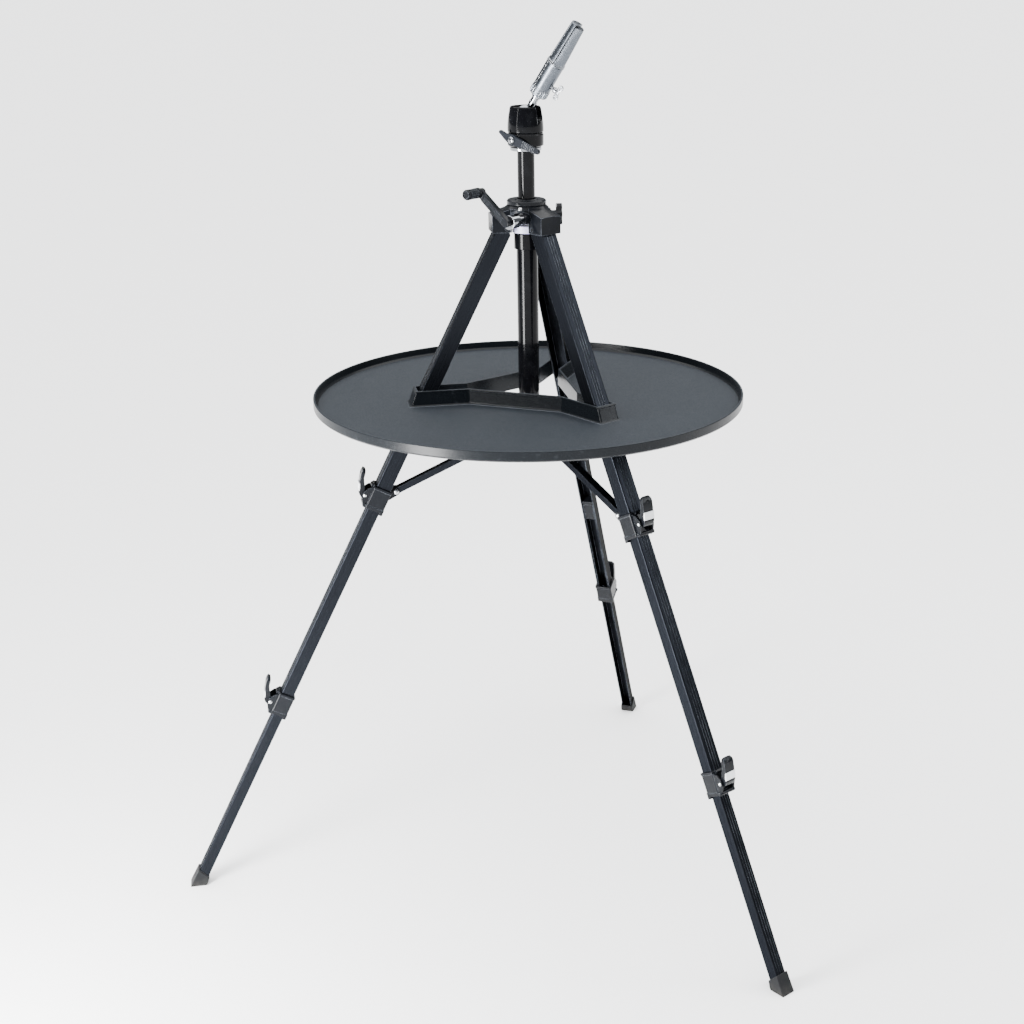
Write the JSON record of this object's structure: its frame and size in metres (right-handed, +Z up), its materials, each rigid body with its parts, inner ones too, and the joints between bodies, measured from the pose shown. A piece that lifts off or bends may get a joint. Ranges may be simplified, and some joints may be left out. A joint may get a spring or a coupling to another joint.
{
  "type": "mannequin tripod with tray",
  "caption": "Folding tripod floor stand with a cranked column, a tilting clamp plug for a practice head and a round rimmed tool tray around the legs.",
  "frame": {"origin": "centre of the footprint box on the floor; the column axis is at x = 0, y = -0.1053 m", "axes": "+Z up along the column; +Y towards the rear leg; the left leg points to 210 degrees and the right leg to 330 degrees from +X"},
  "size_m": [0.8602, 0.7706, 1.1456],
  "materials": {
    "leg_aluminium": "black anodised, satin, drawn lengthwise",
    "gloss_black": "gloss black lacquer",
    "black_plastic": "moulded, semi-matte",
    "tray_plastic": "charcoal, fine leather grain",
    "foot_rubber": "soft matte",
    "cast_zinc": "grey cast zinc alloy, lightly polished",
    "chrome": "polished",
    "bright_steel": "bright zinc plated",
    "pale_plastic": "pale lavender nylon"
  },
  "bodies": {
    "stand": {"shoulder_casting": "black_plastic", "shoulder_cap": "black_plastic", "column_sheath": "gloss_black", "sheath_bushing": "gloss_black", "sheath_ring": "pale_plastic", "sheath_foot": "black_plastic", "crank_bearing": "black_plastic", "pivot_pin_left": "bright_steel", "pivot_pin_rear": "bright_steel", "pivot_pin_right": "bright_steel"},
    "column": {"center_column": "gloss_black", "column_rack": "bright_steel", "head_collar": "black_plastic", "lever_screw": "chrome"},
    "cup": {"head_cup": "gloss_black"},
    "plug": {"ball_stem": "chrome", "plug_base": "cast_zinc"},
    "jaw": {"plug_jaw": "cast_zinc"},
    "wing": {"wing_screw": "bright_steel"},
    "head_lever": {"tilt_lever": "black_plastic"},
    "crank": {"crank_shaft": "chrome", "crank_arm": "black_plastic"},
    "grip": {"crank_grip": "black_plastic"},
    "lock_knob": {"column_lock_knob": "black_plastic"},
    "tray": {"tray": "tray_plastic"},
    "hub": {"spreader_hub": "black_plastic"},
    "leg_left": {"leg_upper_left": "leg_aluminium", "clamp_upper_left": "black_plastic", "brace_pin_left": "bright_steel"},
    "mid_left": {"leg_mid_left": "leg_aluminium", "clamp_lower_left": "black_plastic"},
    "lower_left": {"leg_lower_left": "leg_aluminium", "lower_guide_left": "black_plastic", "foot_left": "foot_rubber"},
    "brace_left": {"brace_left": "leg_aluminium"},
    "upper_lever_left": {"lever_upper_left": "black_plastic"},
    "lower_lever_left": {"lever_lower_left": "black_plastic"},
    "leg_right": {"leg_upper_right": "leg_aluminium", "clamp_upper_right": "black_plastic", "brace_pin_right": "bright_steel"},
    "mid_right": {"leg_mid_right": "leg_aluminium", "clamp_lower_right": "black_plastic"},
    "lower_right": {"leg_lower_right": "leg_aluminium", "lower_guide_right": "black_plastic", "foot_right": "foot_rubber"},
    "brace_right": {"brace_right": "leg_aluminium"},
    "upper_lever_right": {"lever_upper_right": "black_plastic"},
    "lower_lever_right": {"lever_lower_right": "black_plastic"},
    "leg_rear": {"leg_upper_rear": "leg_aluminium", "clamp_upper_rear": "black_plastic", "brace_pin_rear": "bright_steel"},
    "mid_rear": {"leg_mid_rear": "leg_aluminium", "clamp_lower_rear": "black_plastic"},
    "lower_rear": {"leg_lower_rear": "leg_aluminium", "lower_guide_rear": "black_plastic", "foot_rear": "foot_rubber"},
    "brace_rear": {"brace_rear": "leg_aluminium"},
    "upper_lever_rear": {"lever_upper_rear": "black_plastic"},
    "lower_lever_rear": {"lever_lower_rear": "black_plastic"}
  },
  "joints": [
    {"name": "column_lift", "type": "slide", "parent": "stand", "child": "column", "axis": [0, 0, 1], "range_m": [-0.014, 0.15]},
    {"name": "head_pan", "type": "hinge", "parent": "column", "child": "cup", "pos_m": [0, -0.1053, 1.0126], "axis": [0, 0, 1], "continuous": true},
    {"name": "head_tilt", "type": "hinge", "parent": "cup", "child": "plug", "pos_m": [0, -0.1053, 1.0326], "axis": [0.1736, 0.9848, 0], "range_deg": [-59, 53]},
    {"name": "jaw_spread", "type": "slide", "parent": "plug", "child": "jaw", "axis": [0.8097, -0.1428, -0.5693], "range_m": [0, 0.003]},
    {"name": "wing_turn", "type": "hinge", "parent": "plug", "child": "wing", "pos_m": [0.02803, -0.11024, 1.07371], "axis": [0.8097, -0.1428, -0.5693], "range_deg": [0, 1085]},
    {"name": "head_lever_turn", "type": "hinge", "parent": "column", "child": "head_lever", "pos_m": [-0.00862, -0.12898, 1.005], "axis": [-0.342, -0.9397, 0], "range_deg": [-20, 60]},
    {"name": "crank_turn", "type": "hinge", "parent": "stand", "child": "crank", "pos_m": [0.0156, -0.11037, 0.91], "axis": [0.309, 0.9511, 0], "range_deg": [-130, 1330]},
    {"name": "grip_spin", "type": "hinge", "parent": "crank", "child": "grip", "pos_m": [-0.04726, -0.16928, 0.94367], "axis": [-0.309, -0.9511, 0], "continuous": true},
    {"name": "lock_knob_turn", "type": "hinge", "parent": "stand", "child": "lock_knob", "pos_m": [0.03551, -0.0848, 0.911], "axis": [0.866, 0.5, 0], "range_deg": [-540, 0]},
    {"name": "tray_lift", "type": "slide", "parent": "stand", "child": "tray", "axis": [0, 0, 1], "range_m": [0, 0.12]},
    {"name": "fold_left", "type": "hinge", "parent": "stand", "child": "leg_left", "pos_m": [-0.02425, -0.1193, 0.897], "axis": [0.5, -0.866, 0], "range_deg": [0, 23.72]},
    {"name": "fold_right", "type": "hinge", "parent": "stand", "child": "leg_right", "pos_m": [0.02425, -0.1193, 0.897], "axis": [0.5, 0.866, 0], "range_deg": [0, 23.74]},
    {"name": "fold_rear", "type": "hinge", "parent": "stand", "child": "leg_rear", "pos_m": [0, -0.0773, 0.897], "axis": [-1, 0, 0], "range_deg": [0, 23.74]},
    {"name": "hub_slide", "type": "slide", "parent": "stand", "child": "hub", "axis": [0, 0, 1], "range_m": [0, 0.06345]},
    {"name": "brace_swing_left", "type": "hinge", "parent": "leg_left", "child": "brace_left", "pos_m": [-0.15595, -0.19534, 0.5582], "axis": [0.5, -0.866, 0], "range_deg": [0, 42.6]},
    {"name": "brace_swing_right", "type": "hinge", "parent": "leg_right", "child": "brace_right", "pos_m": [0.15595, -0.19534, 0.5582], "axis": [0.5, 0.866, 0], "range_deg": [0, 42.6]},
    {"name": "brace_swing_rear", "type": "hinge", "parent": "leg_rear", "child": "brace_rear", "pos_m": [0, 0.07477, 0.5582], "axis": [-1, 0, 0], "range_deg": [0, 42.6]},
    {"name": "mid_slide_left", "type": "slide", "parent": "leg_left", "child": "mid_left", "axis": [-0.3894, -0.2248, -0.8932], "range_m": [-0.252, 0.095]},
    {"name": "lower_slide_left", "type": "slide", "parent": "mid_left", "child": "lower_left", "axis": [-0.3894, -0.2248, -0.8932], "range_m": [-0.22, 0.168]},
    {"name": "upper_lever_turn_left", "type": "hinge", "parent": "leg_left", "child": "upper_lever_left", "pos_m": [-0.19162, -0.21593, 0.55733], "axis": [0.5, -0.866, 0], "range_deg": [0, 100]},
    {"name": "lower_lever_turn_left", "type": "hinge", "parent": "mid_left", "child": "lower_lever_left", "pos_m": [-0.31398, -0.28658, 0.2731], "axis": [0.5, -0.866, 0], "range_deg": [0, 100]},
    {"name": "mid_slide_right", "type": "slide", "parent": "leg_right", "child": "mid_right", "axis": [0.3894, -0.2248, -0.8932], "range_m": [-0.274, 0.073]},
    {"name": "lower_slide_right", "type": "slide", "parent": "mid_right", "child": "lower_right", "axis": [0.3894, -0.2248, -0.8932], "range_m": [-0.198, 0.19]},
    {"name": "upper_lever_turn_right", "type": "hinge", "parent": "leg_right", "child": "upper_lever_right", "pos_m": [0.19162, -0.21593, 0.55733], "axis": [0.5, 0.866, 0], "range_deg": [0, 100]},
    {"name": "lower_lever_turn_right", "type": "hinge", "parent": "mid_right", "child": "lower_lever_right", "pos_m": [0.32223, -0.29134, 0.25416], "axis": [0.5, 0.866, 0], "range_deg": [0, 100]},
    {"name": "mid_slide_rear", "type": "slide", "parent": "leg_rear", "child": "mid_rear", "axis": [0, 0.4496, -0.8932], "range_m": [-0.246, 0.101]},
    {"name": "lower_slide_rear", "type": "slide", "parent": "mid_rear", "child": "lower_rear", "axis": [0, 0.4496, -0.8932], "range_m": [-0.226, 0.162]},
    {"name": "upper_lever_turn_rear", "type": "hinge", "parent": "leg_rear", "child": "upper_lever_rear", "pos_m": [0, 0.11597, 0.55733], "axis": [-1, 0, 0], "range_deg": [0, 100]},
    {"name": "lower_lever_turn_rear", "type": "hinge", "parent": "mid_rear", "child": "lower_lever_rear", "pos_m": [0, 0.25451, 0.27855], "axis": [-1, 0, 0], "range_deg": [0, 100]}
  ],
  "couplings": [
    {"joint": "wing_turn", "follows": "jaw_spread", "rad_per_m": 6283.2},
    {"joint": "crank_turn", "follows": "column_lift", "rad_per_m": 153.85},
    {"joint": "fold_right", "follows": "fold_left", "ratio": 1},
    {"joint": "fold_rear", "follows": "fold_left", "ratio": 1},
    {"joint": "hub_slide", "follows": "fold_left", "m_per_rad": 0.15253},
    {"joint": "brace_swing_left", "follows": "fold_left", "ratio": 1.7877},
    {"joint": "brace_swing_right", "follows": "fold_left", "ratio": 1.7877},
    {"joint": "brace_swing_rear", "follows": "fold_left", "ratio": 1.7877}
  ]
}
